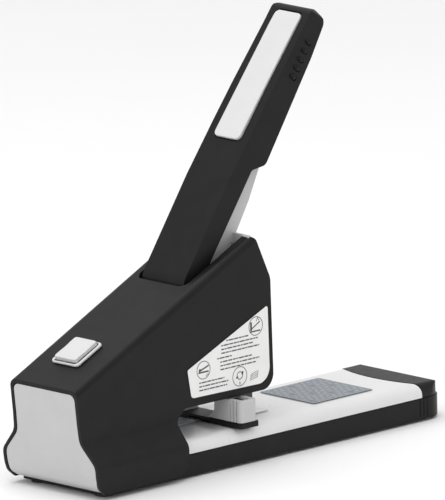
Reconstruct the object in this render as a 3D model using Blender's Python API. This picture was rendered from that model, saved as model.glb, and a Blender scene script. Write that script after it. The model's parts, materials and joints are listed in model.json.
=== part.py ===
"""Heavy-duty lever stapler: a bell-sided housing on a long base, a raised lever handle,
a swinging magazine with a front-loading rail, and a sliding paper guide.

Lengths below are millimetres. X runs from the rear of the foot to the front,
Z is up from the table, Y = 0 is the middle plane.
"""
import math

import bmesh
import bpy
from mathutils import Matrix, Vector

MM = 0.001

# Overall
REAR_X = -5.2            # rearmost edge, at the top of the leaning rear rim
FRONT_X = 283.0          # front of the base tray
MID_X = (REAR_X + FRONT_X) / 2

# Base
BASE_HALF = 34.0         # half width of tray and plate
TRAY_REAR = 10.0
TRAY_CORNER = 14.0
CAP_FRONT = FRONT_X - 1.5
FOOT_H = 1.5
TRAY_TOP = 13.8
PLATE_TOP = 22.0
PLATE_ROLL = 6.0         # rolled shoulder of the steel plate
PLATE_REAR = 68.5
PLATE_END = 256.5        # concave front end of the plate, on the middle plane
CAP_ARC_R = 92.5
GAP = 0.3

# Housing
WALL = 2.2
UPPER_HALF = 27.5
SKIRT_HALF = 39.0
SKIRT_FRONT = 71.8
SLOPE_Z0 = 66.6          # height of the slope above X = 0
SLOPE = 0.468
SLOPE_ANGLE = math.atan(SLOPE)
HEAD_FRONT = 150.8
HEAD_BOTTOM = 39.4
PEAK_X = 137.5
SLOT_HALF = 20.0
SLOT_REAR = 88.0
PANEL_HALF = 24.9        # front panel, between the walls

# Handle, drawn along its own axis a, with q towards its upper face
PIVOT = (104.5, 105.0)
HANDLE_REST = math.radians(54.4)
HANDLE_HALF = 17.0
LEVER_HALF = 12.0
WING_HALF = 18.2         # wings of the lever that close the head between the panel's horns
PIN_R = 3.0

# Drive
DRIVE_A, DRIVE_Q = 30.96, -14.04    # drive pin on the lever
LINK_DROP = 24.0                    # upper to lower eye of a link
EYE_SLIDE = 1.6                     # half length of the straight part of the lower eye's slot
CARRIER_X = 135.5
CARRIER_REAR, CARRIER_FRONT = 131.0, 143.3
BLADE_X = (143.6, 144.6)
CROWN_HALF = 6.3                    # half the width of a staple's crown

BRACKET_TOP = 64.7       # shelf under the release button

# Magazine
SWING = (18.0, 48.0)
RAIL_BOTTOM = 39.8
RAIL_TOP = 53.0
NOSE_REAR, NOSE_FRONT = 139.0, 149.4
NOSE_BOTTOM = 31.0
ARM_FRONT = 134.8
ROD_Z = 49.6             # pusher rod, in the groove of the rail
GROOVE_HALF = 2.7
GROOVE_FLOOR = 46.4
STAPLE_TOP = 54.1
BLADE_BOTTOM = 55.3      # clear of staples and pusher, so that the rail can slide out under it

# Paper guide
GUIDE_HALF = 37.9
GUIDE_REAR, GUIDE_FRONT = 114.0, 128.6
GUIDE_TOP = 25.6
STOP_TOP = 38.6

ARC_STEP = math.radians(18)


def clear_scene():
    for obj in list(bpy.data.objects):
        bpy.data.objects.remove(obj, do_unlink=True)


def material(name, colour, rough, metal=0.0):
    mat = bpy.data.materials.get(name)
    if mat is None:
        mat = bpy.data.materials.new(name)
        mat.use_nodes = True
        shader = mat.node_tree.nodes["Principled BSDF"]
        shader.inputs["Base Color"].default_value = (*colour, 1.0)
        shader.inputs["Roughness"].default_value = rough
        shader.inputs["Metallic"].default_value = metal
    return mat


BLACK = material("black_plastic", (0.028, 0.028, 0.030), 0.45)
GREY = material("light_grey_plastic", (0.62, 0.62, 0.63), 0.40)
WHITE = material("white_plastic", (0.86, 0.86, 0.86), 0.35)
PLATE = material("white_painted_steel", (0.80, 0.80, 0.80), 0.35)
STEEL = material("bright_steel", (0.60, 0.61, 0.63), 0.28, 1.0)
DARK_STEEL = material("dark_steel", (0.12, 0.12, 0.13), 0.35, 1.0)
RUBBER = material("black_rubber", (0.03, 0.03, 0.03), 0.8)
PAPER = material("printed_label", (0.85, 0.85, 0.83), 0.5)


# ---------------------------------------------------------------- shape helpers

def rounded(points):
    """Outline from corners (x, y) or (x, y, r); a corner with r becomes an arc."""
    out = []
    count = len(points)
    for i, corner in enumerate(points):
        here = Vector(corner[:2])
        radius = corner[2] if len(corner) > 2 else 0.0
        if radius <= 0.0:
            out.append((here.x, here.y))
            continue
        back = (Vector(points[i - 1][:2]) - here).normalized()
        ahead = (Vector(points[(i + 1) % count][:2]) - here).normalized()
        half = back.angle(ahead) / 2
        reach = radius / math.tan(half)
        centre = here + (back + ahead).normalized() * (radius / math.sin(half))
        start = here + back * reach - centre
        end = here + ahead * reach - centre
        turn = start.angle_signed(end)
        steps = max(2, math.ceil(abs(turn) / ARC_STEP))
        for k in range(steps + 1):
            spot = centre + Matrix.Rotation(-turn * k / steps, 2) @ start
            out.append((spot.x, spot.y))
    return out


def ring(cx, cy, radius, start, end, steps):
    """Points on an arc, angles in degrees."""
    out = []
    for k in range(steps + 1):
        angle = math.radians(start + (end - start) * k / steps)
        out.append((cx + radius * math.cos(angle), cy + radius * math.sin(angle)))
    return out


def to_world(x, y, z):
    return Vector(((x - MID_X) * MM, y * MM, z * MM))


def finish(bm, name, mat, cutter=False, origin=None):
    bmesh.ops.recalc_face_normals(bm, faces=bm.faces)
    if bm.calc_volume(signed=True) < 0:
        bmesh.ops.reverse_faces(bm, faces=bm.faces)
    mesh = bpy.data.meshes.new(name)
    if origin is not None:
        bmesh.ops.translate(bm, verts=bm.verts, vec=-origin)
    bm.to_mesh(mesh)
    bm.free()
    obj = bpy.data.objects.new(name, mesh)
    if origin is not None:
        obj.location = origin
    bpy.context.collection.objects.link(obj)
    if cutter:
        obj.hide_render = True
        obj.display_type = "WIRE"
    else:
        mesh.materials.append(mat)
    return obj


def prism(name, outline, axis, low, high, mat=None, origin=None):
    """Outline extruded along axis. X: outline is (y, z); Y: (x, z); Z: (x, y)."""
    place = {
        "X": lambda p, t: to_world(t, p[0], p[1]),
        "Y": lambda p, t: to_world(p[0], t, p[1]),
        "Z": lambda p, t: to_world(p[0], p[1], t),
    }[axis]
    bm = bmesh.new()
    near = [bm.verts.new(place(p, low)) for p in outline]
    far = [bm.verts.new(place(p, high)) for p in outline]
    bm.faces.new(near)
    bm.faces.new(list(reversed(far)))
    count = len(outline)
    for i in range(count):
        j = (i + 1) % count
        bm.faces.new((near[i], far[i], far[j], near[j]))
    return finish(bm, name, mat, cutter=mat is None, origin=origin)


def box(name, x, y, z, mat=None, origin=None):
    outline = [(x[0], z[0]), (x[1], z[0]), (x[1], z[1]), (x[0], z[1])]
    return prism(name, outline, "Y", y[0], y[1], mat, origin)


def rod(name, axis, centre, radius, low, high, mat=None, sides=20, origin=None):
    """Round bar along an axis; centre is the point in the other two coordinates."""
    outline = ring(centre[0], centre[1], radius, 0, 360 * (sides - 1) / sides, sides - 1)
    return prism(name, outline, axis, low, high, mat, origin)


def coil(name, centre, axis, radius, wire, low, high, turns, mat, origin=None):
    """Helical spring with flat-cut ends."""
    sides = 6
    per_turn = 12
    count = int(turns * per_turn)
    bm = bmesh.new()
    rings = []
    for k in range(count + 1):
        angle = 2 * math.pi * k / per_turn
        along = low + (high - low) * k / count
        loop = []
        for s in range(sides):
            tilt = 2 * math.pi * s / sides
            r = radius + wire * math.cos(tilt)
            t = along + wire * math.sin(tilt)
            u = centre[0] + r * math.cos(angle)
            v = centre[1] + r * math.sin(angle)
            spot = {"X": (t, u, v), "Y": (u, t, v), "Z": (u, v, t)}[axis]
            loop.append(bm.verts.new(to_world(*spot)))
        rings.append(loop)
    for a, b in zip(rings, rings[1:]):
        for s in range(sides):
            n = (s + 1) % sides
            bm.faces.new((a[s], a[n], b[n], b[s]))
    bm.faces.new(list(reversed(rings[0])))
    bm.faces.new(rings[-1])
    return finish(bm, name, mat, origin=origin)


def boolean(obj, operation, *tools):
    for tool in tools:
        mod = obj.modifiers.new(operation.lower(), "BOOLEAN")
        mod.operation = operation
        mod.object = tool
        mod.solver = "EXACT"
        tool.hide_render = True
        tool.display_type = "WIRE"
    return obj


def cut(obj, *tools):
    return boolean(obj, "DIFFERENCE", *tools)


def handle_point(a, q):
    """Handle axis coordinates to (x, z) at rest."""
    c, s = math.cos(HANDLE_REST), math.sin(HANDLE_REST)
    return (PIVOT[0] + a * c - q * s, PIVOT[1] + a * s + q * c)


def in_handle(points):
    return [handle_point(a, q) for a, q in rounded(points)]


def slope_z(x):
    return SLOPE_Z0 + SLOPE * x


# ---------------------------------------------------------------- base

def plan(rear, front, half, corner, gap=0.0):
    """Base outline seen from above: square at the rear, rounded at the front."""
    return rounded([(rear, -half + gap), (front - gap, -half + gap, corner),
                    (front - gap, half - gap, corner), (rear, half - gap)])


def plate_section(half, low, top, roll):
    return rounded([(-half, low), (half, low), (half, top, roll), (-half, top, roll)])


def make_base():
    prism("base_tray", plan(TRAY_REAR, FRONT_X, BASE_HALF, TRAY_CORNER), "Z", FOOT_H, TRAY_TOP, BLACK)
    plate = prism("base_plate", plate_section(BASE_HALF, TRAY_TOP + GAP, PLATE_TOP, PLATE_ROLL),
                  "X", PLATE_REAR, 275.0, PLATE)
    arc_x = PLATE_END + CAP_ARC_R
    span = math.degrees(math.asin(50.0 / CAP_ARC_R))
    edge = ring(arc_x, 0, CAP_ARC_R, 180 - span, 180 + span, 14)
    cut(plate, prism("plate_end_cutter", edge + [(320, -60), (320, 60)], "Z", 5, 40))
    cap_edge = ring(arc_x, 0, CAP_ARC_R - GAP, 180 - span, 180 + span, 14)
    cap = prism("front_cap", plate_section(BASE_HALF - 0.4, TRAY_TOP + GAP, PLATE_TOP + 0.25, 5.0),
                "X", 250.0, 290.0, BLACK)
    cap_top = PLATE_TOP + 0.2
    front = rounded([(240, 5), (CAP_FRONT + 0.2, 5), (CAP_FRONT - 0.6, cap_top, 5), (240, cap_top)])
    boolean(cap, "INTERSECT",
            prism("cap_plan_keep", plan(240, CAP_FRONT, BASE_HALF - 0.4, TRAY_CORNER - 1.0), "Z", 5, 40),
            prism("cap_side_keep", front, "Y", -60, 60))
    cut(cap, prism("cap_rear_cutter", cap_edge + [(200, -60), (200, 60)], "Z", 5, 40))
    anvil = box("anvil_plate", (136.0, 158.0), (-14.5, 14.5), (PLATE_TOP + GAP, PLATE_TOP + 1.0), STEEL)
    for side in (-1, 1):
        groove = rod("anvil_groove_cutter", "Y", (144.0, PLATE_TOP + 1.6), 1.1,
                     side * 4 - 2.6, side * 4 + 2.6, sides=10)
        cut(anvil, groove)
    box("guide_rail", (74.0, 134.0), (-4.5, 4.5), (PLATE_TOP + GAP, PLATE_TOP + 1.6), STEEL)
    for i, (x, y) in enumerate([(16, -26), (16, 26), (268, -24), (268, 24)]):
        rod(f"rubber_foot_{i + 1}", "Z", (x, y), 5.5, 0.0, FOOT_H - GAP, RUBBER, sides=18)
    chart = [(187.0, -22.5), (234.5, -22.5), (234.5, 22.5), (187.0, 22.5)]
    prism("size_chart_label", chart, "Z", PLATE_TOP + GAP, PLATE_TOP + GAP + 0.2, PAPER)


# ---------------------------------------------------------------- housing

def bell(inset=0.0, top=200.0):
    """Right side of the bell section, bottom to top. Its two ends are left sharp."""
    i = inset
    return rounded([
        (37.4 - i, 3.3), (SKIRT_HALF - i, 11.5, 10), (SKIRT_HALF + 0.2 - i, 20.5, 7),
        (UPPER_HALF + 0.5 - i, 33.5 - 0.3 * i, 9), (UPPER_HALF - i, 44.0), (UPPER_HALF - i, top)])


def shell_solid(name, inset, low, x_range, mat=None):
    """Bell section swept along X whose rounded top follows the slope."""
    side = bell(inset, 55.0)
    side[0] = (side[0][0], low)
    half = UPPER_HALF - inset
    roll = 5.0 - 0.6 * inset
    drop = inset / math.cos(SLOPE_ANGLE)
    corner = [(half - roll + roll * math.cos(math.radians(t)), -roll + roll * math.sin(math.radians(t)))
              for t in (0, 22.5, 45, 67.5, 90)]
    bm = bmesh.new()
    rings = []
    for x in x_range:
        top = slope_z(x) - drop
        right = [(y, z) for y, z in side[:-1]] + [(y, top + dz) for y, dz in corner]
        outline = right + [(-y, z) for y, z in reversed(right)]
        rings.append([bm.verts.new(to_world(x, y, z)) for y, z in outline])
    a, b = rings
    count = len(a)
    for i in range(count):
        j = (i + 1) % count
        bm.faces.new((a[i], a[j], b[j], b[i]))
    bm.faces.new(list(reversed(a)))
    bm.faces.new(b)
    return finish(bm, name, mat, cutter=mat is None)


def rear_line(offset=0.0):
    """Rear face in side view: leaning line that rolls forward at the bottom."""
    return [(REAR_X + offset, SLOPE_Z0 + 10.0), (REAR_X + offset, 64.0), (-0.2 + offset, 14.0, 30),
            (1.2 + offset, 7.5, 6), (6.0 + offset, 3.3 + 0.6 * offset)]


def body_outline():
    return rounded([
        *rear_line(),
        (SKIRT_FRONT - 0.5, 3.3, 8), (SKIRT_FRONT, 22.0, 14), (76.5, 32.0, 8), (81.0, HEAD_BOTTOM, 5),
        (HEAD_FRONT - 0.2, HEAD_BOTTOM, 9), (HEAD_FRONT - 1.3, 104.0, 9), (PEAK_X, slope_z(PEAK_X) + 0.2, 5),
        (PEAK_X - 8, slope_z(PEAK_X - 8) + 2.0), (60.0, 150.0), (REAR_X - 30, 150.0), (REAR_X - 30, 76.0)][1:])


def make_housing():
    shell = shell_solid("body_shell", 0.0, 1.0, (-10.0, 170.0), BLACK)
    boolean(shell, "INTERSECT", prism("body_profile_keep", body_outline(), "Y", -60, 60))
    cavity = shell_solid("body_cavity_cutter", WALL, -8.0, (-14.0, 178.0))
    slot = rounded([(SLOT_REAR, -SLOT_HALF, 5), (200, -SLOT_HALF), (200, SLOT_HALF), (SLOT_REAR, SLOT_HALF, 5)])
    cut(shell, cavity, prism("handle_slot_cutter", slot, "Z", 60, 160),
        box("head_mouth_cutter", (134.6, 160), (-25.2, 25.2), (110, 150)))
    button_c = (22.5, slope_z(22.5))
    cut(shell, slope_box("button_well_cutter", button_c, (-10.3, 10.3), (-9.3, 9.3), (-6, 6)))

    panel_lines = rounded([(REAR_X + 0.4, 61.6), (0.2, 14.0, 30), (1.6, 7.7, 6), (6.5, 4.2)])
    inner = [(x + 2.3, z + (0.0 if z > 12 else 1.2)) for x, z in panel_lines]
    strip = panel_lines + list(reversed(inner))
    panel = prism("rear_panel", strip, "Y", -60, 60, GREY)
    keep = bell(WALL + GAP, 58.0)
    keep[0] = (keep[0][0], 1.0)
    keep = keep[:-1] + [(UPPER_HALF - WALL - GAP, 58.6), (UPPER_HALF - WALL - GAP - 3.0, 61.4)]
    outline = keep + [(-y, z) for y, z in reversed(keep)]
    boolean(panel, "INTERSECT", prism("rear_panel_keep", outline, "X", -20, 30))

    front = rounded([(149.9, 60.0), (148.9, 103.8, 8), (PEAK_X - 0.6, 130.6),
                     (PEAK_X - 2.6, 129.8), (146.6, 103.4, 6), (147.6, 60.0)])
    face = prism("front_panel", front, "Y", -PANEL_HALF, PANEL_HALF, GREY)
    cut(face, box("panel_slot_cutter", (130, 160), (-18.6, 18.6), (101.0, 150.0)),
        box("panel_lever_cutter", (130, 160), (-13.0, 13.0), (86.0, 120.0)))

    label = rounded([(83.5, 47.5), (88.0, 43.9, 3), (139.0, 43.6, 9), (147.0, 52.0, 4),
                     (146.4, 88.5, 1.5), (83.2, 61.5, 3)])
    prism("side_label", label, "Y", -UPPER_HALF - GAP - 0.2, -UPPER_HALF - GAP, PAPER)


def slope_box(name, centre, along, across, up, mat=None, origin=None):
    """Box whose floor lies parallel to the slope, centred on a point of it."""
    c, s = math.cos(SLOPE_ANGLE), math.sin(SLOPE_ANGLE)

    def at(a, n):
        return (centre[0] + a * c - n * s, centre[1] + a * s + n * c)

    outline = [at(along[0], up[0]), at(along[1], up[0]), at(along[1], up[1]), at(along[0], up[1])]
    return prism(name, outline, "Y", across[0], across[1], mat, origin)


def make_button():
    centre = (22.5, slope_z(22.5))
    bezel = slope_box("button_bezel", centre, (-11.5, 11.5), (-11.0, 11.0), (GAP, 1.9), WHITE)
    cut(bezel, slope_box("bezel_hole_cutter", centre, (-8.6, 8.6), (-7.8, 7.8), (-3, 6)))
    origin = to_world(centre[0], 0, centre[1])
    slope_box("release_button", centre, (-8.2, 8.2), (-7.4, 7.4), (-5.0, 4.4), WHITE, origin)
    box("button_bracket", (12.0, 33.0), (-15.0, 15.0), (BRACKET_TOP - 1.4, BRACKET_TOP), STEEL)
    coil("button_spring", (centre[0] + 1.0, 0), "Z", 3.0, 0.4, BRACKET_TOP + 0.6, BRACKET_TOP + 4.8, 3, STEEL)


# ---------------------------------------------------------------- chassis

def make_chassis():
    side = rounded([(10, TRAY_TOP + GAP), (64, TRAY_TOP + GAP), (66, 36, 10), (112, 90, 8),
                    (113.5, 106, 8), (104.5, 113.0, 8), (60, 88, 10), (10, 60, 6)])
    for label, sign in (("right", -1), ("left", 1)):
        low, high = sorted((sign * 21.0, sign * 22.6))
        plate = prism(f"chassis_plate_{label}", side, "Y", low, high, STEEL)
        cut(plate, rod("chassis_pivot_cutter", "Y", PIVOT, PIN_R + 0.05, -40, 40),
            rod("chassis_swing_cutter", "Y", SWING, 2.05, -40, 40),
            rod("chassis_tie_cutter", "Y", (40.0, 71.0), 2.35, -40, 40),
            rod("chassis_tie_cutter", "Y", (56.0, 24.0), 2.35, -40, 40))
    rod("upper_tie_bar", "Y", (40.0, 71.0), 2.0, -24.0, 24.0, STEEL)
    rod("lower_tie_bar", "Y", (56.0, 24.0), 2.0, -24.0, 24.0, STEEL)
    rod("handle_pivot_pin", "Y", PIVOT, PIN_R, -24.6, 24.6, STEEL)
    rod("magazine_pivot_pin", "Y", SWING, 2.0, -24.0, 24.0, STEEL)


# ---------------------------------------------------------------- handle

def make_handle():
    pivot = to_world(PIVOT[0], 0, PIVOT[1])
    heel = ring(0, 0, 14.0, 90, 240, 9)
    shape = rounded(heel + [
        (3.0, -11.0, 3), (14.0, 1.0, 5), (74.0, 1.0, 3), (81.5, -7.4, 5), (150.0, -6.4),
        (173.0, -4.6, 6), (176.5, 9.0, 5), (160.0, 9.6), (120.0, 12.0), (60.0, 14.4)])
    outline = [handle_point(a, q) for a, q in shape]
    cover = prism("handle_cover", outline, "Y", -HANDLE_HALF, HANDLE_HALF, BLACK, pivot)
    hollow = [handle_point(a, q) for a, q in [(80.0, -40), (80.0, 11.6), (0.0, 11.6)]
              + ring(0, 0, 11.4, 100, 225, 7) + [(-8.1, -40)]]
    recess = in_handle([(82.5, 12.2), (173.0, 6.4), (173.0, 30.0), (82.5, 30.0)])
    taper = [prism(f"handle_taper_cutter_{k}", wedge, "Z", 0, 300) for k, wedge in enumerate(handle_wedges())]
    cut(cover, prism("handle_hollow_cutter", hollow, "Y", -14.6, 14.6),
        rod("cover_pivot_cutter", "Y", PIVOT, PIN_R + 0.06, -40, 40),
        prism("insert_recess_cutter", recess, "Y", -11.6, 11.6), *taper)

    insert = in_handle([(83.5, 12.6, 0.8), (172.0, 6.8, 0.8), (172.0, 9.6, 1.2), (160.0, 10.8),
                        (120.0, 13.1), (83.5, 15.1, 1.2)])
    prism("handle_grip_insert", insert, "Y", -11.0, 11.0, WHITE, pivot)

    lobe = ring(DRIVE_A, DRIVE_Q, 5.2, 200, 340, 7)
    lever_shape = rounded(ring(0, 0, 10.5, 90, 270, 12) + [(14.0, -12.0)] + lobe + [
        (40.0, -12.6), (60.0, -11.2), (79.4, -8.0), (79.4, 11.0, 2), (40.0, 11.0)])
    lever = prism("handle_lever", [handle_point(a, q) for a, q in lever_shape], "Y",
                  -LEVER_HALF, LEVER_HALF, GREY, pivot)
    channel = in_handle([(-30, -40), (120, -40), (120, 8.6), (-30, 8.6)])
    cut(lever, prism("lever_channel_cutter", channel, "Y", -9.6, 9.6),
        rod("lever_pivot_cutter", "Y", PIVOT, PIN_R + 0.06, -40, 40),
        rod("lever_drive_cutter", "Y", handle_point(DRIVE_A, DRIVE_Q), 2.5 + GAP, -40, 40))
    wing = [(135.4, 130.4), (137.5, 130.4), (139.6, 119.5), (137.4, 119.5)]
    for label, sign in (("right", -1), ("left", 1)):
        low, high = sorted((sign * (LEVER_HALF - 1.0), sign * WING_HALF))
        boolean(lever, "UNION", prism(f"lever_wing_{label}", wing, "Y", low, high))
    rod("drive_pin", "Y", handle_point(DRIVE_A, DRIVE_Q), 2.5, -12.4, 12.4, STEEL, origin=pivot)
    coil("handle_return_spring", PIVOT, "Y", 4.6, 0.6, -8.0, 8.0, 5, STEEL, pivot)


def handle_wedges():
    """Plan-view wedges that taper the handle from its waist to its tip."""
    tip_x, tip_half, waist_x = 210.0, 15.4, 150.0
    return [[(waist_x, sign * HANDLE_HALF), (tip_x, sign * tip_half), (tip_x, sign * 30), (waist_x, sign * 30)]
            for sign in (-1, 1)]


# ---------------------------------------------------------------- drive

def stadium(cx, cz, half, radius):
    """Outline with two round ends and straight runs of 2 * half along X."""
    return ring(cx + half, cz, radius, -90, 90, 7) + ring(cx - half, cz, radius, 90, 270, 7)


def make_drive():
    top = handle_point(DRIVE_A, DRIVE_Q)
    low = (top[0], top[1] - LINK_DROP)
    origin = to_world(top[0], 0, top[1])
    link = (ring(top[0], top[1], 4.6, 0, 180, 8) + ring(low[0] - EYE_SLIDE - 0.3, low[1], 4.9, 180, 270, 4)
            + ring(low[0] + EYE_SLIDE + 0.3, low[1], 4.9, 270, 360, 4))
    for label, sign in (("right", -1), ("left", 1)):
        lo, hi = sorted((sign * 6.0, sign * 8.6))
        plate = prism(f"drive_link_{label}", link, "Y", lo, hi, STEEL, origin)
        cut(plate, rod("link_top_cutter", "Y", top, 2.55, -40, 40),
            prism("link_slot_cutter", stadium(low[0], low[1], EYE_SLIDE, 2.9), "Y", -40, 40))
    pin = (CARRIER_X, low[1])
    carrier = prism("driver_carrier", rounded([
        (CARRIER_REAR, low[1] - 14.0), (CARRIER_FRONT, low[1] - 14.0),
        (CARRIER_FRONT, low[1] + 4.5, 2), (CARRIER_REAR, low[1] + 4.5, 3)]), "Y", -5.4, 5.4, DARK_STEEL)
    cut(carrier, rod("carrier_pin_cutter", "Y", pin, 2.0 + GAP, -40, 40))
    rod("carrier_pin", "Y", pin, 2.0, -9.2, 9.2, STEEL)
    neck = 5.0           # half width where the blade passes between the links
    half = [(CROWN_HALF, BLADE_BOTTOM), (CROWN_HALF, 84.0), (neck, 88.0), (neck, low[1] - 2.0)]
    blade = half + [(-y, z) for y, z in reversed(half)]
    prism("driver_blade", blade, "X", *BLADE_X, STEEL)


# ---------------------------------------------------------------- magazine

def saddle(out, low, high, wall, tongue=()):
    """Inverted U section that sits astride the rail, with an optional tongue under its roof."""
    inner = out - wall
    right = [(out, high), (out, low), (inner, low), (inner, high - wall), *tongue]
    return right + [(-y, z) for y, z in reversed(right)]


def make_magazine():
    arm = prism("magazine_arm", rounded([(12.0, 42.0), (ARM_FRONT, 42.0), (ARM_FRONT, 61.5, 2), (12.0, 61.5, 5)]),
                "Y", -8.8, 8.8, DARK_STEEL)
    cut(arm, box("arm_channel_cutter", (25.0, 150.0), (-7.5, 7.5), (30.0, 60.1)),
        rod("arm_pivot_cutter", "Y", SWING, 2.06, -40, 40))

    right = [(9.5, RAIL_BOTTOM), (9.5, 41.4), (5.3, 41.4), (5.3, RAIL_TOP),
             (GROOVE_HALF, RAIL_TOP), (GROOVE_HALF, GROOVE_FLOOR)]
    prism("magazine_rail", right + [(-y, z) for y, z in reversed(right)],
          "X", 26.0, NOSE_REAR - GAP, STEEL)
    nose = box("magazine_nose", (NOSE_REAR, NOSE_FRONT), (-11.0, 11.0), (NOSE_BOTTOM, 55.6), DARK_STEEL)
    cut(nose, box("nose_slot_cutter", (142.6, 145.8), (-7.0, 7.0), (20.0, 70.0)),
        box("nose_entry_cutter", (130.0, 144.0), (-7.0, 7.0), (41.0, 70.0)))

    prism("staple_strip", saddle(6.4, 42.0, STAPLE_TOP, 0.6), "X", 89.0, 142.3, STEEL)
    tongue = [(2.2, 53.4), (2.2, GROOVE_FLOOR + GAP + 0.4)]
    slider = prism("staple_pusher", saddle(7.0, 42.2, 54.6, 1.2, tongue), "X", 78.0, 88.6, WHITE)
    cut(slider, rod("pusher_bore_cutter", "X", (0.0, ROD_Z), 1.3, 0, 200))
    rod("pusher_rod", "X", (0.0, ROD_Z), 1.1, 27.0, 136.0, STEEL, sides=12)
    coil("pusher_spring", (0.0, ROD_Z), "X", 1.9, 0.3, 28.0, 77.3, 11, STEEL)


# ---------------------------------------------------------------- paper guide

def make_guide():
    bar = box("paper_guide_bar", (GUIDE_REAR, GUIDE_FRONT), (-GUIDE_HALF, GUIDE_HALF),
              (PLATE_TOP + GAP, GUIDE_TOP), BLACK)
    cut(bar, box("guide_channel_cutter", (100, 140), (-4.9, 4.9), (10.0, PLATE_TOP + 2.0)))
    for label, sign in (("right", -1), ("left", 1)):
        outline = rounded([(sign * GUIDE_HALF, GUIDE_TOP + GAP), (sign * GUIDE_HALF, STOP_TOP, 1.5),
                           (sign * 15.7, STOP_TOP, 1.5), (sign * 15.7, 30.5, 4), (sign * 10.5, GUIDE_TOP + GAP)])
        prism(f"guide_stop_{label}", outline, "X", GUIDE_REAR + 0.2, GUIDE_FRONT - 1.5, GREY)


def main():
    clear_scene()
    make_base()
    make_housing()
    make_button()
    make_chassis()
    make_handle()
    make_drive()
    make_magazine()
    make_guide()


main()
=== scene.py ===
"""Looks of a heavy-duty lever stapler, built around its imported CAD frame.

Outlines are in millimetres, in the part's own drawing frame: X from the rear of the foot to the
front, Y = 0 on the middle plane, Z up from the table. to_world() takes them to metres.
"""
import json
import math

import bmesh
import bpy
from mathutils import Matrix, Vector


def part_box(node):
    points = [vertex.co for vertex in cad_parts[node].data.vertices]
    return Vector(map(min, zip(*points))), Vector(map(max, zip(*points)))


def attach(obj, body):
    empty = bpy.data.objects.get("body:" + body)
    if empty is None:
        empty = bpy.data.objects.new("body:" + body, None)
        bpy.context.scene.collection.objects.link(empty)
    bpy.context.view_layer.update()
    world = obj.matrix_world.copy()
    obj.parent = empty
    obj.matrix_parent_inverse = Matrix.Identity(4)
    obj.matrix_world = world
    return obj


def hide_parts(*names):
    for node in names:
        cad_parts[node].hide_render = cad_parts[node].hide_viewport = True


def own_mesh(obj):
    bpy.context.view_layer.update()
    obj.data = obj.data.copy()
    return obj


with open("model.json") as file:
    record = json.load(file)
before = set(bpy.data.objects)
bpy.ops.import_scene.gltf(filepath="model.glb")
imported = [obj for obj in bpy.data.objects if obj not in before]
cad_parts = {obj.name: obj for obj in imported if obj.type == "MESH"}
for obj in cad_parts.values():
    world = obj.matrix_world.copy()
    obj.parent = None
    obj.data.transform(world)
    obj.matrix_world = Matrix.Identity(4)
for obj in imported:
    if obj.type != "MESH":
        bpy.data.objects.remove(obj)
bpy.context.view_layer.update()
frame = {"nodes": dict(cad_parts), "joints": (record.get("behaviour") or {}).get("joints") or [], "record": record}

RECORD = frame["record"]
BODY_OF = {node: body for body, nodes in RECORD["behaviour"]["bodies"].items() for node in nodes}
SLOT_OF = {part["node"]: part["material_slot"] for part in RECORD["subparts"]}
HINGE = next(joint for joint in frame["joints"] if joint["name"] == "handle_hinge")["pos_m"]

MM = 0.001
MID_X = 138.9                # drawing X of the frame's origin
ARC_STEP = math.radians(7.5)
GAP = 0.3


def low(node):
    """Lowest corner of a CAD node, in drawing millimetres."""
    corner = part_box(node)[0] / MM
    return Vector((corner.x + MID_X, corner.y, corner.z))


def high(node):
    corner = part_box(node)[1] / MM
    return Vector((corner.x + MID_X, corner.y, corner.z))


# Driving sizes, read from the frame
BASE_HALF = high("base_plate").y
TRAY_BOTTOM, TRAY_TOP = low("base_tray").z, high("base_tray").z
TRAY_REAR, TRAY_FRONT = low("base_tray").x, high("base_tray").x
PLATE_TOP = high("base_plate").z
PLATE_REAR = low("base_plate").x
UPPER_HALF = -high("side_label").y - GAP
LABEL_FACE = low("side_label").y
PIVOT = (HINGE[0] / MM + MID_X, HINGE[2] / MM)
CHART_LOW, CHART_HIGH = low("size_chart_label"), high("size_chart_label")
GUIDE_LOW, GUIDE_HIGH = low("paper_guide_bar"), high("paper_guide_bar")
STOP_LOW, STOP_HIGH = low("guide_stop_right"), high("guide_stop_right")

# Base corner, housing section and slope, as drawn in CAD
TRAY_CORNER = 14.0           # front corners of the tray, from above
WALL = 2.2
SKIRT_HALF = 39.0
SKIRT_FRONT = 71.8
SLOPE_Z0 = 66.6
SLOPE = 0.468
SLOPE_ANGLE = math.atan(SLOPE)
HEAD_FRONT = 150.8
HEAD_BOTTOM = 39.4
PEAK_X = 137.5
SLOT_HALF = 20.0
SLOT_REAR = 88.0
RIM_X = -5.2                 # rear edge of the housing's rim, before its rounding
HANDLE_REST = math.radians(54.4)
HANDLE_HALF = 17.0
BUTTON_X = 22.5              # middle of the button on the slope


# ---------------------------------------------------------------- materials

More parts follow.
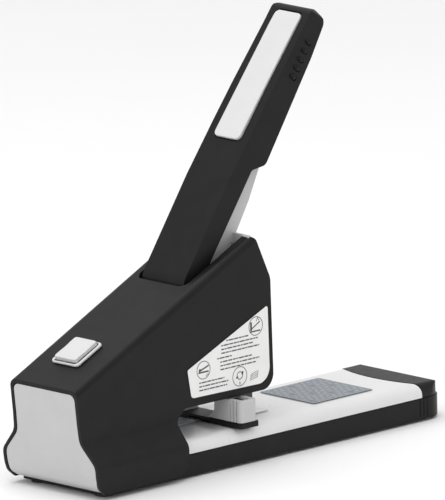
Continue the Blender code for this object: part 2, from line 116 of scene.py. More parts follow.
def surface(name, colour, rough, metal=0.0, *, mottle=0.10, grain=2200.0, depth=0.00004, strength=0.35,
            stretch=(1, 1, 1), uneven=0.06, coat=0.0, smudge=90.0, specular=0.5):
    """Principled surface with mottled colour, uneven gloss and a fine bump, all in object space."""
    mat = bpy.data.materials.new(name)
    mat.use_nodes = True
    nodes, links = mat.node_tree.nodes, mat.node_tree.links
    shader = nodes["Principled BSDF"]
    shader.inputs["Metallic"].default_value = metal
    shader.inputs["Specular IOR Level"].default_value = specular
    shader.inputs["Coat Weight"].default_value = coat
    shader.inputs["Coat Roughness"].default_value = 0.18
    place = nodes.new("ShaderNodeTexCoord")
    scale = nodes.new("ShaderNodeMapping")
    scale.inputs["Scale"].default_value = stretch
    links.new(place.outputs["Object"], scale.inputs["Vector"])

    def noise(size, detail):
        node = nodes.new("ShaderNodeTexNoise")
        node.inputs["Scale"].default_value = size
        node.inputs["Detail"].default_value = detail
        links.new(scale.outputs["Vector"], node.inputs["Vector"])
        return node.outputs["Fac"]

    tint = nodes.new("ShaderNodeValToRGB")
    tint.color_ramp.elements[0].position = 0.3
    tint.color_ramp.elements[1].position = 0.7
    tint.color_ramp.elements[0].color = (*[c * (1 - mottle) for c in colour], 1)
    tint.color_ramp.elements[1].color = (*[min(1, c * (1 + mottle)) for c in colour], 1)
    links.new(noise(smudge, 4), tint.inputs["Fac"])
    links.new(tint.outputs["Color"], shader.inputs["Base Color"])

    gloss = nodes.new("ShaderNodeMapRange")
    gloss.inputs["To Min"].default_value = rough - uneven
    gloss.inputs["To Max"].default_value = rough + uneven
    links.new(noise(smudge * 2.7, 5), gloss.inputs["Value"])
    links.new(gloss.outputs["Result"], shader.inputs["Roughness"])

    bump = nodes.new("ShaderNodeBump")
    bump.inputs["Strength"].default_value = strength
    bump.inputs["Distance"].default_value = depth
    links.new(noise(grain, 2), bump.inputs["Height"])
    links.new(bump.outputs["Normal"], shader.inputs["Normal"])
    return mat


MATERIALS = {
    "black_plastic": surface("black_moulded_plastic", (0.0095, 0.0095, 0.0100), 0.40, mottle=0.12,
                             depth=0.00006, strength=0.5, specular=0.16),
    "light_grey_plastic": surface("light_grey_moulded_plastic", (0.50, 0.50, 0.505), 0.38, mottle=0.02),
    "white_plastic": surface("white_moulded_plastic", (0.62, 0.62, 0.62), 0.34, mottle=0.015, coat=0.08),
    "white_painted_steel": surface("white_paint_on_steel", (0.72, 0.72, 0.72), 0.30, mottle=0.015,
                                   grain=650.0, depth=0.00005, strength=0.25, coat=0.3),
    "bright_steel": surface("rolled_zinc_steel", (0.62, 0.63, 0.65), 0.30, 1.0, mottle=0.12, grain=900.0,
                            depth=0.00003, strength=0.4, stretch=(0.08, 1, 1), uneven=0.09),
    "dark_steel": surface("phosphated_steel", (0.055, 0.055, 0.06), 0.40, 0.6, mottle=0.2, grain=1500.0,
                          uneven=0.08),
    "black_rubber": surface("soft_black_rubber", (0.022, 0.022, 0.022), 0.75, grain=1600.0, depth=0.0001),
    "printed_label": surface("printed_white_film", (0.82, 0.82, 0.81), 0.36, mottle=0.02, grain=900.0,
                             depth=0.00002, coat=0.2),
    "printed_chart": surface("printed_slate_film", (0.10, 0.125, 0.155), 0.38, mottle=0.10, grain=900.0,
                             depth=0.00002, coat=0.2, smudge=260.0),
}
INK = surface("dark_print", (0.045, 0.045, 0.05), 0.5, mottle=0.25, smudge=700.0, depth=0.00001)
GRID_INK = surface("white_print", (0.52, 0.55, 0.58), 0.45, mottle=0.12, smudge=700.0, depth=0.00001)


# ---------------------------------------------------------------- outline helpers

def rounded(points):
    """Closed outline from corners (x, y) or (x, y, r); a corner with r becomes an arc."""
    out = []
    count = len(points)
    for i, corner in enumerate(points):
        here = Vector(corner[:2])
        radius = corner[2] if len(corner) > 2 else 0.0
        if radius <= 0.0:
            out.append((here.x, here.y))
            continue
        back = (Vector(points[i - 1][:2]) - here).normalized()
        ahead = (Vector(points[(i + 1) % count][:2]) - here).normalized()
        half = back.angle(ahead) / 2
        reach = radius / math.tan(half)
        centre = here + (back + ahead).normalized() * (radius / math.sin(half))
        start = here + back * reach - centre
        end = here + ahead * reach - centre
        turn = start.angle_signed(end)
        steps = max(3, math.ceil(abs(turn) / ARC_STEP))
        for k in range(steps + 1):
            spot = centre + Matrix.Rotation(-turn * k / steps, 2) @ start
            out.append((spot.x, spot.y))
    return out


def ring(cx, cy, radius, start, end, steps):
    """Points on an arc, angles in degrees."""
    angles = [math.radians(start + (end - start) * k / steps) for k in range(steps + 1)]
    return [(cx + radius * math.cos(a), cy + radius * math.sin(a)) for a in angles]


def mirrored(right):
    """Closed outline from its right half, bottom to top."""
    return right + [(-y, z) for y, z in reversed(right)]


def slab(x, y, radius):
    """Rectangle with round corners."""
    return rounded([(x[0], y[0], radius), (x[1], y[0], radius), (x[1], y[1], radius), (x[0], y[1], radius)])


def to_world(x, y, z):
    return Vector(((x - MID_X) * MM, y * MM, z * MM))


def handle_point(a, q):
    """Handle axis coordinates to drawing (x, z) at rest."""
    c, s = math.cos(HANDLE_REST), math.sin(HANDLE_REST)
    return (PIVOT[0] + a * c - q * s, PIVOT[1] + a * s + q * c)


def slope_z(x):
    return SLOPE_Z0 + SLOPE * x


def on_slope(centre_x):
    """Maps (along, across, up) on the sloping top to the world."""
    c, s = math.cos(SLOPE_ANGLE), math.sin(SLOPE_ANGLE)
    cz = slope_z(centre_x)
    return lambda p, t: to_world(centre_x + p[0] * c - t * s, p[1], cz + p[0] * s + t * c)


def on_handle(p, t):
    """Maps (along, across) at height t over the handle's axis to the world."""
    x, z = handle_point(p[0], t)
    return to_world(x, p[1], z)


ALONG = {
    "X": lambda p, t: to_world(t, p[0], p[1]),
    "Y": lambda p, t: to_world(p[0], t, p[1]),
    "Z": lambda p, t: to_world(p[0], p[1], t),
}


# ---------------------------------------------------------------- mesh helpers

def new_object(name, bm):
    bmesh.ops.recalc_face_normals(bm, faces=bm.faces)
    if bm.calc_volume(signed=True) < 0:
        bmesh.ops.reverse_faces(bm, faces=bm.faces)
    mesh = bpy.data.meshes.new(name)
    bm.to_mesh(mesh)
    bm.free()
    obj = bpy.data.objects.new(name, mesh)
    bpy.context.scene.collection.objects.link(obj)
    return obj


def extrude(name, outline, start, end, place, soften=None):
    """Outline swept from start to end. soften=(radius, test) rounds the rim edges that pass test."""
    if isinstance(place, str):
        place = ALONG[place]
    bm = bmesh.new()
    near = [bm.verts.new(place(p, start)) for p in outline]
    far = [bm.verts.new(place(p, end)) for p in outline]
    bm.faces.new(near)
    bm.faces.new(list(reversed(far)))
    count = len(outline)
    for i in range(count):
        j = (i + 1) % count
        bm.faces.new((near[i], far[i], far[j], near[j]))
    if soften:
        radius, test = soften
        passing = [test(*p) for p in outline]
        rim = []
        for i in range(count):
            j = (i + 1) % count
            if passing[i] and passing[j]:
                rim += [bm.edges.get((near[i], near[j])), bm.edges.get((far[i], far[j]))]
        bmesh.ops.bevel(bm, geom=rim, offset=radius * MM, segments=6, profile=0.5, affect="EDGES",
                        clamp_overlap=True)
    return new_object(name, bm)


def block(name, x, y, z):
    return extrude(name, [(x[0], z[0]), (x[1], z[0]), (x[1], z[1]), (x[0], z[1])], y[0], y[1], "Y")


def boolean(obj, operation, *tools):
    for tool in tools:
        mod = obj.modifiers.new(operation.lower(), "BOOLEAN")
        mod.operation = operation
        mod.object = tool
        mod.solver = "EXACT"
    return obj


def cut(obj, *tools):
    return boolean(obj, "DIFFERENCE", *tools)


def apply_modifiers(obj):
    tools = [m.object for m in obj.modifiers if m.type == "BOOLEAN"]
    bpy.context.view_layer.update()
    graph = bpy.context.evaluated_depsgraph_get()
    mesh = bpy.data.meshes.new_from_object(obj.evaluated_get(graph), depsgraph=graph)
    obj.modifiers.clear()
    obj.data = mesh
    for tool in tools:
        bpy.data.objects.remove(tool, do_unlink=True)


def edge_finish(obj, width, segments=3, crease=32.0):
    """Applies the cuts, rounds the remaining sharp edges and shades flats flat."""
    if obj.modifiers:
        apply_modifiers(obj)
    bm = bmesh.new()
    bm.from_mesh(obj.data)
    bmesh.ops.remove_doubles(bm, verts=bm.verts, dist=0.000004)
    bmesh.ops.dissolve_limit(bm, angle_limit=math.radians(0.4), verts=bm.verts, edges=bm.edges)
    bm.to_mesh(obj.data)
    bm.free()
    if width:
        mod = obj.modifiers.new("edges", "BEVEL")
        mod.width = width * MM
        mod.segments = segments
        mod.limit_method = "ANGLE"
        mod.angle_limit = math.radians(crease)
        mod.miter_outer = "MITER_ARC"
        apply_modifiers(obj)
    obj.data.shade_smooth()
    obj.data.set_sharp_from_angle(angle=math.radians(48))
    obj.modifiers.new("normals", "WEIGHTED_NORMAL").keep_sharp = True
    apply_modifiers(obj)
    return obj


def dress(obj, mat):
    obj.data.materials.clear()
    obj.data.materials.append(mat)
    return obj


def stand_for(obj, *nodes, width=0.4, segments=3, mat=None):
    """Finishes a piece that is shown instead of CAD nodes and rides on their body."""
    slot = SLOT_OF[nodes[0]]
    edge_finish(obj, width, segments)
    dress(obj, mat or MATERIALS[slot])
    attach(obj, BODY_OF[nodes[0]])
    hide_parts(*nodes)
    return obj


def adorn(obj, body, mat, width=0.0):
    """Finishes a small piece with no CAD node of its own."""
    edge_finish(obj, width, 2)
    dress(obj, mat)
    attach(obj, body)
    return obj


def join(name, objects):
    """One object from several separate shapes."""
    bm = bmesh.new()
    for obj in objects:
        bm.from_mesh(obj.data)
        bpy.data.objects.remove(obj, do_unlink=True)
    mesh = bpy.data.meshes.new(name)
    bm.to_mesh(mesh)
    bm.free()
    result = bpy.data.objects.new(name, mesh)
    bpy.context.scene.collection.objects.link(result)
    return result


# ---------------------------------------------------------------- base

def plan(rear, front, half, corner):
    """Base outline from above: square at the rear, round at the front."""
    return rounded([(rear, -half), (front, -half, corner), (front, half, corner), (rear, half)])


def crowned(half, bottom, top, roll):
    """Section with rolled upper shoulders."""
    return rounded([(-half, bottom), (half, bottom), (half, top, roll), (-half, top, roll)])


def make_base():
    tray = extrude("base_tray_fine", plan(TRAY_REAR, TRAY_FRONT, BASE_HALF, TRAY_CORNER),
                   TRAY_BOTTOM, TRAY_TOP, "Z")
    grooves = [block(f"tray_groove_{side}_{k}", (x - 0.3, x + 0.3),
                     sorted((side * (BASE_HALF - 0.5), side * (BASE_HALF + 2))),
                     (TRAY_BOTTOM + 1.5, TRAY_TOP + 2))
               for side in (-1, 1) for k, x in enumerate((261.0, 264.0, 266.6))]
    cut(tray, *grooves)
    stand_for(tray, "base_tray", width=0.9)

    arc_r, arc_x = 92.5, 256.5 + 92.5
    span = math.degrees(math.asin(50.0 / arc_r))
    plate = extrude("base_plate_fine", crowned(BASE_HALF, TRAY_TOP + GAP, PLATE_TOP, 6.0),
                    PLATE_REAR, 275.0, "X")
    edge = ring(arc_x, 0, arc_r, 180 - span, 180 + span, 36)
    cut(plate, extrude("plate_end_cutter", edge + [(320, -60), (320, 60)], 5, 40, "Z"))
    stand_for(plate, "base_plate", width=0.35)

    half, front, top = BASE_HALF - 0.4, TRAY_FRONT - 1.5, PLATE_TOP + 0.2
    cap = extrude("front_cap_fine", crowned(half, TRAY_TOP + GAP, top + 0.05, 5.0), 250.0, 290.0, "X")
    side = rounded([(240, 5), (front + 0.2, 5), (front - 0.6, top, 7), (240, top)])
    boolean(cap, "INTERSECT", extrude("cap_plan_keep", plan(240, front, half, TRAY_CORNER - 1.0), 5, 40, "Z"),
            extrude("cap_side_keep", side, -60, 60, "Y"))
    edge = ring(arc_x, 0, arc_r - GAP, 180 - span, 180 + span, 36)
    cut(cap, extrude("cap_rear_cutter", edge + [(200, -60), (200, 60)], 5, 40, "Z"))
    stand_for(cap, "front_cap", width=0.6)


def make_chart():
    """Slate label with a generic white grid and a short mark in each cell."""
    x0, x1 = CHART_LOW.x, CHART_HIGH.x
    half, top = CHART_HIGH.y, CHART_HIGH.z
    stand_for(extrude("size_chart_fine", slab((x0, x1), (-half, half), 1.0), CHART_LOW.z, top, "Z"),
              "size_chart_label", width=0.05)
    rows, columns, line = 10, 6, 0.16
    pitch_x, pitch_y = (x1 - x0 - 3) / rows, (2 * half - 3) / columns
    shapes = []
    for k in range(rows + 1):
        x = x0 + 1.5 + k * pitch_x
        shapes.append(block(f"row_{k}", (x - line, x + line), (-half + 1.5, half - 1.5), (top, top + 0.05)))
    for k in range(columns + 1):
        y = -half + 1.5 + k * pitch_y
        shapes.append(block(f"column_{k}", (x0 + 1.5, x1 - 1.5), (y - line, y + line), (top, top + 0.05)))
    for row in range(rows):
        for column in range(columns):
            if (row * 5 + column * 3) % 7 < 1:
                continue
            x = x0 + 1.5 + (row + 0.5) * pitch_x
            y = -half + 1.5 + (column + 0.5) * pitch_y
            shapes.append(block("mark", (x - 0.35, x + 0.35), (y - 2.0, y + 2.0), (top, top + 0.05)))
    adorn(join("size_chart_grid", shapes), "root", GRID_INK)


# ---------------------------------------------------------------- housing

def bell(inset, top):
    """Right side of the housing's bell section, bottom to top."""
    i = inset
    return rounded([
        (37.4 - i, 3.3), (SKIRT_HALF - i, 11.5, 10), (SKIRT_HALF + 0.2 - i, 20.5, 7),
        (UPPER_HALF + 0.5 - i, 33.5 - 0.3 * i, 9), (UPPER_HALF - i, 44.0), (UPPER_HALF - i, top)])


def bell_sweep(name, inset, bottom, x_range):
    """Bell section swept along X whose round top follows the slope."""
    side = bell(inset, 55.0)
    side[0] = (side[0][0], bottom)
    half = UPPER_HALF - inset
    roll = 5.0 - 0.6 * inset
    drop = inset / math.cos(SLOPE_ANGLE)
    corner = ring(half - roll, -roll, roll, 0, 90, 12)
    bm = bmesh.new()
    rings = []
    for x in x_range:
        top = slope_z(x) - drop
        right = side[:-1] + [(y, top + dz) for y, dz in corner]
        rings.append([bm.verts.new(to_world(x, y, z)) for y, z in mirrored(right)])
    a, b = rings
    count = len(a)
    for i in range(count):
        j = (i + 1) % count
        bm.faces.new((a[i], a[j], b[j], b[i]))
    bm.faces.new(list(reversed(a)))
    bm.faces.new(b)
    return new_object(name, bm)


def housing_outline():
    return rounded([
        (RIM_X, 64.0), (-0.2, 14.0, 30), (1.2, 7.5, 6), (6.0, 3.3),
        (SKIRT_FRONT - 0.5, 3.3, 8), (SKIRT_FRONT, 32.5, 4), (79.5, HEAD_BOTTOM, 4),
        (HEAD_FRONT - 0.2, HEAD_BOTTOM, 9), (HEAD_FRONT - 1.3, 104.0, 9), (PEAK_X, slope_z(PEAK_X) + 0.2, 5),
        (PEAK_X - 8, slope_z(PEAK_X - 8) + 2.0), (60.0, 150.0), (RIM_X - 30, 150.0), (RIM_X - 30, 76.0)])


def make_housing():
    shell = bell_sweep("body_shell_fine", 0.0, 1.0, (-10.0, 170.0))
    boolean(shell, "INTERSECT", extrude("body_keep", housing_outline(), -60, 60, "Y"))
    slot = rounded([(SLOT_REAR, -SLOT_HALF, 5), (200, -SLOT_HALF),
                    (200, SLOT_HALF), (SLOT_REAR, SLOT_HALF, 5)])
    cut(shell, bell_sweep("cavity_cutter", WALL, -8.0, (-14.0, 178.0)),
        extrude("handle_slot_cutter", slot, 60, 160, "Z"),
        block("head_mouth_cutter", (134.6, 160), (-25.2, 25.2), (110, 150)),
        extrude("button_well_cutter", slab((-10.3, 10.3), (-9.3, 9.3), 1.0), -6, 6, on_slope(BUTTON_X)))
    stand_for(shell, "body_shell", width=0.9)

    lines = rounded([(RIM_X + 0.4, 61.6), (0.2, 14.0, 30), (1.6, 7.7, 6), (6.5, 4.2)])
    inner = [(x + 2.3, z + (0.0 if z > 12 else 1.2)) for x, z in lines]
    panel = extrude("rear_panel_fine", lines + list(reversed(inner)), -60, 60, "Y")
    right = bell(WALL + GAP, 52.0)
    right[0] = (right[0][0], 1.0)
    half = UPPER_HALF - WALL - GAP
    right += ring(half - 4.0, 57.4, 4.0, 0, 90, 10)
    boolean(panel, "INTERSECT", extrude("rear_panel_keep", mirrored(right), -20, 30, "X"))
    stand_for(panel, "rear_panel", width=0.35)


# ---------------------------------------------------------------- side label

def ring_mark(name, x, z, radius, width):
    """Thin printed ring on the side label."""
    outer, inner = ring(x, z, radius, 0, 360, 48)[:-1], ring(x, z, radius - width, 0, 360, 48)[:-1]
    bm = bmesh.new()
    loops = [[bm.verts.new(to_world(px, LABEL_FACE + t, pz)) for px, pz in loop]
             for loop, t in ((outer, 0.0), (outer, -0.05), (inner, -0.05), (inner, 0.0))]
    for k in range(4):
        a, b = loops[k], loops[(k + 1) % 4]
        for i in range(48):
            j = (i + 1) % 48
            bm.faces.new((a[i], a[j], b[j], b[i]))
    return new_object(name, bm)


def bar_mark(x, z):
    return block("bar", x, (LABEL_FACE - 0.05, LABEL_FACE), z)


def slant_mark(x, z, length, width, degrees):
    """Short printed stroke, centred on a point and turned."""
    c, s = math.cos(math.radians(degrees)), math.sin(math.radians(degrees))
    corners = [(x + u * c - v * s, z + u * s + v * c)
               for u, v in ((-length / 2, -width / 2), (length / 2, -width / 2),
                            (length / 2, width / 2), (-length / 2, width / 2))]
    return extrude("stroke", corners, LABEL_FACE - 0.05, LABEL_FACE, "Y")


def text_rows(x0, widths, z0, pitch, thick):
    """Rows of short bars that stand for lines of fine print."""
    shapes = []
    for k, width in enumerate(widths):
        z = z0 - k * pitch
        x = x0
        word = 0
        while x < x0 + width - 0.6:
            length = min(1.3 + 0.9 * ((word * 7 + k * 5) % 4), x0 + width - x)
            shapes.append(bar_mark((x, x + length), (z - thick / 2, z + thick / 2)))
            x += length + 0.55
            word += 1
    return shapes


def make_label():
    outline = rounded([(84.8, 44.4, 2.5), (147.2, 43.5, 9), (146.4, 88.5, 1.2), (82.0, 61.2, 1.5)])
    stand_for(extrude("side_label_fine", outline, LABEL_FACE, high("side_label").y, "Y"),
              "side_label", width=0.05)
    shapes = [ring_mark("circle_1", 136.6, 77.9, 5.6, 0.42), ring_mark("circle_2", 94.6, 59.4, 5.4, 0.42),
              ring_mark("circle_3", 123.2, 50.7, 5.8, 0.42)]
    # circle 1: a pressing arrow over a stapler-like bar
    shapes += [bar_mark((132.2, 133.6), (75.6, 80.6)), bar_mark((132.2, 140.2), (74.6, 75.4)),
               slant_mark(136.6, 78.4, 7.4, 0.7, 28), slant_mark(137.6, 81.6, 2.4, 0.35, 60),
               slant_mark(138.8, 81.6, 2.4, 0.35, 120)]
    # circle 2: a stapler-like wedge that opens
    shapes += [slant_mark(94.6, 58.2, 8.0, 0.9, 0), slant_mark(95.2, 60.4, 7.4, 0.9, 18),
               slant_mark(91.6, 59.6, 1.8, 1.2, 60), slant_mark(97.4, 56.2, 2.6, 0.4, 35)]
    # circle 3: a turning arrow
    shapes += [ring_mark("turn", 123.2, 51.2, 2.4, 0.5), slant_mark(125.4, 52.4, 2.0, 1.1, 70),
               bar_mark((122.9, 123.5), (45.8, 47.6)), slant_mark(121.0, 50.4, 1.6, 0.9, 20)]
    # a small stack of sheets
    shapes += [slant_mark(134.6, 47.6 + 1.1 * k, 5.0, 0.3, 14) for k in range(4)]
    shapes += [slant_mark(137.4, 49.8, 4.4, 0.3, 78), slant_mark(131.9, 48.4, 3.6, 0.3, 78)]
    shapes += text_rows(113.0, (17.5,), 73.4, 2.0, 0.75)
    shapes += text_rows(109.0, (29.0, 25.0, 30.0), 71.0, 2.2, 0.75)
    shapes += text_rows(105.6, (11.5,), 64.0, 2.0, 0.75)
    shapes += text_rows(108.0, (25.0, 31.0, 28.0), 61.6, 2.2, 0.75)
    shapes += text_rows(91.0, (20.0, 23.0, 22.0), 52.2, 2.2, 0.75)
    adorn(join("side_label_print", shapes), "root", INK)


# ---------------------------------------------------------------- button

def make_button():
    place = on_slope(BUTTON_X)
    bezel = extrude("button_bezel_fine", slab((-11.5, 11.5), (-11.0, 11.0), 2.6), GAP, 1.9, place)
    cut(bezel, extrude("bezel_hole_cutter", slab((-10.0, 10.0), (-9.0, 9.0), 1.8), -3, 6, place))
    stand_for(bezel, "button_bezel", width=0.6)
    button = extrude("release_button_fine", slab((-9.7, 9.7), (-8.7, 8.7), 1.6), -1.2, 4.2, place)
    boolean(button, "UNION", extrude("button_stem", slab((-8.2, 8.2), (-7.4, 7.4), 1.2), -5.0, 0.0, place))
    # a wide shallow hollow for the thumb
    dish_r = 60.0
    profile = ring(0.0, 4.0 + dish_r, dish_r, 262.5, 277.5, 16)
    c, s = math.cos(SLOPE_ANGLE), math.sin(SLOPE_ANGLE)
    dish = [(BUTTON_X + a * c - n * s, slope_z(BUTTON_X) + a * s + n * c)
            for a, n in profile + [(9.0, 20.0), (-9.0, 20.0)]]
    cut(button, extrude("button_dish_cutter", dish, -12, 12, "Y"))
    stand_for(button, "release_button", width=0.8)


# ---------------------------------------------------------------- handle

def make_handle():
    heel = ring(0, 0, 14.0, 90, 240, 24)
    shape = rounded(heel + [
        (3.0, -11.0, 3), (14.0, 1.0, 5), (74.0, 1.0, 3), (81.5, -7.4, 5), (150.0, -6.4),
        (173.0, -4.6, 6), (176.5, 9.0, 5), (160.0, 9.6), (120.0, 12.0), (60.0, 14.4)])
    hollow = ([(80.0, -40), (80.0, 11.6), (0.0, 11.6)] + ring(0, 0, 11.4, 100, 225, 14) + [(-8.1, -40)])

    def place(p, t):
        x, z = handle_point(*p)
        return to_world(x, t, z)

    cover = extrude("handle_cover_fine", shape, -HANDLE_HALF, HANDLE_HALF, place,
                    soften=(4.0, lambda a, q: q > 5.0 or a > 150.0))
    recess_side = extrude("recess_side_keep", [(82.0, 12.2), (174.5, 6.2), (174.5, 30.0), (82.0, 30.0)],
                          -20, 20, place)
    recess = extrude("insert_recess_cutter", slab((85.1, 170.4), (-10.9, 10.9), 3.6), 0.0, 40.0, on_handle)
    boolean(recess, "INTERSECT", recess_side)
    apply_modifiers(recess)
    wedges = [[(150.0, sign * HANDLE_HALF), (210.0, sign * 15.4), (210.0, sign * 30), (150.0, sign * 30)]
              for sign in (-1, 1)]
    tip_plan = slab((-60, 177.0), (-HANDLE_HALF - 1, HANDLE_HALF + 1), 11.0)
    boolean(cover, "INTERSECT", extrude("tip_keep", tip_plan, -60, 60, on_handle))
    pockets = join("ridge_pockets", [make_ridge("pocket", *spot, grow=1.12, shift=1.0)
                                     for spot in ridge_spots()])
    cut(cover, pockets, extrude("hollow_cutter", hollow, -14.6, 14.6, place),
        extrude("cover_pivot_cutter", ring(*PIVOT, 3.06, 0, 345, 23), -40, 40, "Y"), recess,
        *[extrude(f"taper_cutter_{k}", wedge, 0, 300, "Z") for k, wedge in enumerate(wedges)])
    stand_for(cover, "handle_cover", width=0.5)

    insert = extrude("grip_insert_fine", slab((86.0, 169.5), (-10.4, 10.4), 3.2), 0.0, 40.0, on_handle)
    side = rounded([(80.0, 12.8), (176.0, 6.5), (176.0, 9.2), (160.0, 10.8), (120.0, 13.1), (80.0, 15.3)])
    boolean(insert, "INTERSECT", extrude("insert_side_keep", side, -20, 20, place))
    stand_for(insert, "handle_grip_insert", width=0.7)

    ridges = [make_ridge("ridge", *spot) for spot in ridge_spots()]
    adorn(join("handle_grip_ridges", ridges), "handle", MATERIALS["black_plastic"])


def ridge_spots():
    """Place along the handle, side and size of each grip mark, the largest nearest the waist."""
    return [(134.0 + 5.5 * k, side, 1.0 - 0.05 * k) for side in (-1, 1) for k in range(5)]


def make_ridge(name, a, side, size, grow=1.0, shift=0.0):
    """Oval bump on a side face of the handle. Grown and shifted, the same shape cuts its pocket."""
    x, z = handle_point(a, 1.5 - shift)
    face = HANDLE_HALF - max(0.0, (x - 150.0) * (HANDLE_HALF - 15.4) / 60.0)
    bm = bmesh.new()
    bmesh.ops.create_uvsphere(bm, u_segments=24, v_segments=14, radius=1.0)
    turn = Matrix.Rotation(math.radians(12) - HANDLE_REST, 4, "Y")
    shape = Matrix.Diagonal((1.6 * size * grow * MM, 1.7 * MM, 2.5 * size * grow * MM, 1.0))
    spot = Matrix.Translation(to_world(x, side * (face - 0.1), z))
    bmesh.ops.transform(bm, matrix=spot @ turn @ shape, verts=bm.verts)
    return new_object(name, bm)


# ---------------------------------------------------------------- paper guide

def make_guide():
    bar = extrude("paper_guide_fine", slab((GUIDE_LOW.x, GUIDE_HIGH.x), (GUIDE_LOW.y, GUIDE_HIGH.y), 1.6),
                  GUIDE_LOW.z, GUIDE_HIGH.z, "Z")
    cut(bar, block("guide_channel_cutter", (100, 140), (-4.9, 4.9), (10.0, PLATE_TOP + 2.0)))
    stand_for(bar, "paper_guide_bar", width=0.35)
    outer = -STOP_LOW.y
    for label, sign in (("right", -1), ("left", 1)):
        outline = rounded([(sign * outer, STOP_LOW.z), (sign * outer, STOP_HIGH.z, 1.5),
                           (sign * 15.7, STOP_HIGH.z, 1.5), (sign * 15.7, 30.5, 4),
                           (sign * 10.5, STOP_LOW.z)])
        stop = extrude(f"guide_stop_{label}_fine", outline, STOP_LOW.x, STOP_HIGH.x, "X")
        corner = slab((STOP_LOW.x, STOP_HIGH.x), sorted((sign * outer, sign * 5.0)), 2.6)
        boolean(stop, "INTERSECT", extrude("stop_plan_keep", corner, 20, 45, "Z"))
        steps = [block(f"stop_groove_{k}", (STOP_LOW.x - 2, STOP_LOW.x + 0.7),
                       sorted((sign * (y - 0.35), sign * (y + 0.35))), (GUIDE_HIGH.z, 45))
                 for k, y in enumerate((34.0, 31.4, 28.8))]
        well = extrude("stop_well_cutter", slab((STOP_LOW.x + 3.4, STOP_HIGH.x - 3.0),
                                                sorted((sign * 35.0, sign * 23.0)), 1.5), 36.6, 45, "Z")
        cut(stop, well, *steps)
        stand_for(stop, f"guide_stop_{label}", width=0.4)
        # The thin black strip laid in the well is painted shade for the dark gap under the housing's bottom edge.
        shade_strip_plan = slab((STOP_LOW.x + 3.5, STOP_HIGH.x - 3.1), sorted((sign * 34.9, sign * 23.1)), 1.4)
        shade_strip = extrude(f"guide_stop_{label}_pad", shade_strip_plan, 36.65, 37.2, "Z")
        adorn(shade_strip, "paper_guide", MATERIALS["black_plastic"], width=0.1)


# ---------------------------------------------------------------- inner pieces

def coil(name, centre, axis, radius, wire, start, end, turns):
    """Helical spring wound along an axis."""
    sides, per_turn = 10, 28
    count = int(turns * per_turn)
    order = {"X": lambda u, v, t: (t, u, v),
             "Y": lambda u, v, t: (u, t, v),
             "Z": lambda u, v, t: (u, v, t)}[axis]
    bm = bmesh.new()
    rings = []
    for k in range(count + 1):
        angle = 2 * math.pi * k / per_turn
        along = start + (end - start) * k / count
        loop = []
        for s in range(sides):
            tilt = 2 * math.pi * s / sides
            r = radius + wire * math.cos(tilt)
            loop.append(bm.verts.new(to_world(*order(centre[0] + r * math.cos(angle),
                                                     centre[1] + r * math.sin(angle),
                                                     along + wire * math.sin(tilt)))))
        rings.append(loop)
    for a, b in zip(rings, rings[1:]):
        for s in range(sides):
            n = (s + 1) % sides
            bm.faces.new((a[s], a[n], b[n], b[s]))
    bm.faces.new(list(reversed(rings[0])))
    bm.faces.new(rings[-1])
    return new_object(name, bm)


def middle(node):
    return (low(node) + high(node)) / 2


def make_springs():
    spot, a, b = middle("button_spring"), low("button_spring").z, high("button_spring").z
    spring = coil("button_spring_fine", (spot.x, 0.0), "Z", 3.0, 0.4, a + 0.4, b - 0.4, 3)
    stand_for(spring, "button_spring", width=0)
    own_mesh(spring)
    spring = coil("handle_return_spring_fine", PIVOT, "Y", 4.6, 0.6, -8.0, 8.0, 5)
    stand_for(spring, "handle_return_spring", width=0)
    a, b = low("pusher_spring"), high("pusher_spring")
    spring = coil("pusher_spring_fine", (0.0, middle("pusher_rod").z), "X", 1.9, 0.3, a.x + 0.3, b.x - 0.3, 11)
    stand_for(spring, "pusher_spring", width=0)
    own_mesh(spring)


def make_rods():
    """Round bars, turned smooth, with chamfered ends."""
    rods = [("handle_pivot_pin", "Y"), ("magazine_pivot_pin", "Y"), ("upper_tie_bar", "Y"),
            ("lower_tie_bar", "Y"), ("drive_pin", "Y"), ("carrier_pin", "Y"), ("pusher_rod", "X")]
    rods += [(f"rubber_foot_{k}", "Z") for k in (1, 2, 3, 4)]
    pick = {"X": (1, 2, 0), "Y": (0, 2, 1), "Z": (0, 1, 2)}
    for node, axis in rods:
        lo, hi, mid = low(node), high(node), middle(node)
        u, v, t = pick[axis]
        radius = max(hi[u] - lo[u], hi[v] - lo[v]) / 2
        outline = ring(mid[u], mid[v], radius, 0, 360, 48)[:-1]
        bar = extrude(f"{node}_fine", outline, lo[t], hi[t], axis)
        stand_for(bar, node, width=min(0.5, radius * 0.25))


def make_copies():
    """Every CAD node not yet replaced is shown as a copy with rounded edges."""
    fine_edges = {"driver_blade": 0.12, "staple_strip": 0.1, "magazine_rail": 0.2, "button_bracket": 0.2,
                  "anvil_plate": 0.15, "guide_rail": 0.2, "staple_pusher": 0.2, "magazine_arm": 0.25,
                  "handle_lever": 0.5, "front_panel": 0.4, "magazine_nose": 0.4}
    for node, source in frame["nodes"].items():
        if source.hide_render:
            continue
        copy = bpy.data.objects.new(f"{node}_fine", source.data.copy())
        bpy.context.scene.collection.objects.link(copy)
        stand_for(copy, node, width=fine_edges.get(node, 0.3), segments=2)


# ---------------------------------------------------------------- stage

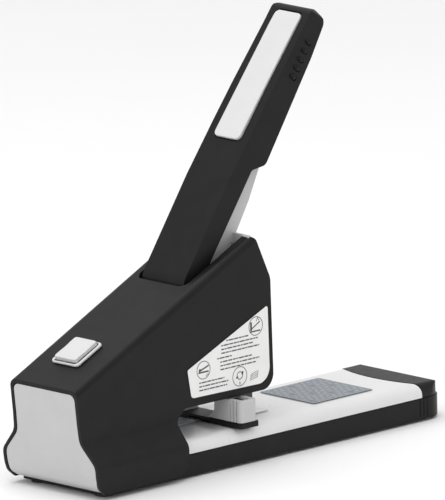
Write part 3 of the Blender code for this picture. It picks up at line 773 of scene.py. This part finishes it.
def make_stage():
    bm = bmesh.new()
    bmesh.ops.create_grid(bm, x_segments=1, y_segments=1, size=6.0)
    mesh = bpy.data.meshes.new("floor")
    bm.to_mesh(mesh)
    bm.free()
    floor = bpy.data.objects.new("floor", mesh)
    bpy.context.scene.collection.objects.link(floor)
    floor.data.materials.append(surface("pale_floor", (0.90, 0.90, 0.90), 0.7, mottle=0.01,
                                        smudge=3.0, depth=0.0001))

    world = bpy.data.worlds.new("studio")
    bpy.context.scene.world = world
    world.use_nodes = True
    world.node_tree.nodes["Background"].inputs["Color"].default_value = (1.0, 1.0, 1.0, 1.0)
    world.node_tree.nodes["Background"].inputs["Strength"].default_value = 0.85

    def area(name, spot, aim, size, power):
        light = bpy.data.lights.new(name, "AREA")
        light.shape = "RECTANGLE"
        light.size, light.size_y = size
        light.energy = power
        lamp = bpy.data.objects.new(name, light)
        bpy.context.scene.collection.objects.link(lamp)
        lamp.location = spot
        lamp.rotation_euler = (Vector(aim) - Vector(spot)).to_track_quat("-Z", "Y").to_euler()

    area("top_softbox", (-0.2, 0.1, 1.5), (0, 0, 0.05), (1.6, 1.2), 11.0)
    area("rear_softbox", (-1.5, -0.3, 0.55), (0, 0, 0.1), (0.8, 0.9), 2.2)


def make_camera():
    """Long lens from behind and to the right, a little above the table."""
    heading, tilt, roll = math.radians(46.22), math.radians(12.75), math.radians(-1.2)
    distance, frame_height = 12.0, 0.2862
    ahead = Vector((math.cos(tilt) * math.cos(heading), math.cos(tilt) * math.sin(heading), -math.sin(tilt)))
    level = ahead.cross(Vector((0, 0, 1))).normalized()
    rise = level.cross(ahead)
    right = level * math.cos(roll) + rise * math.sin(roll)
    up = rise * math.cos(roll) - level * math.sin(roll)
    aim = Vector((0, 0, 0.120)) - right * 0.00030 - up * 0.00205
    lens = bpy.data.cameras.new("camera")
    lens.sensor_width = 36.0
    lens.lens = 36.0 * distance / frame_height
    lens.clip_end = 50.0
    camera = bpy.data.objects.new("camera", lens)
    bpy.context.scene.collection.objects.link(camera)
    turn = Matrix((right, up, -ahead)).transposed().to_4x4()
    camera.matrix_world = Matrix.Translation(aim - ahead * distance) @ turn
    bpy.context.scene.camera = camera


make_camera()
make_stage()
make_base()
make_chart()
make_housing()
make_label()
make_button()
make_handle()
make_guide()
make_springs()
make_rods()
make_copies()

bpy.context.scene.view_settings.view_transform = "Standard"
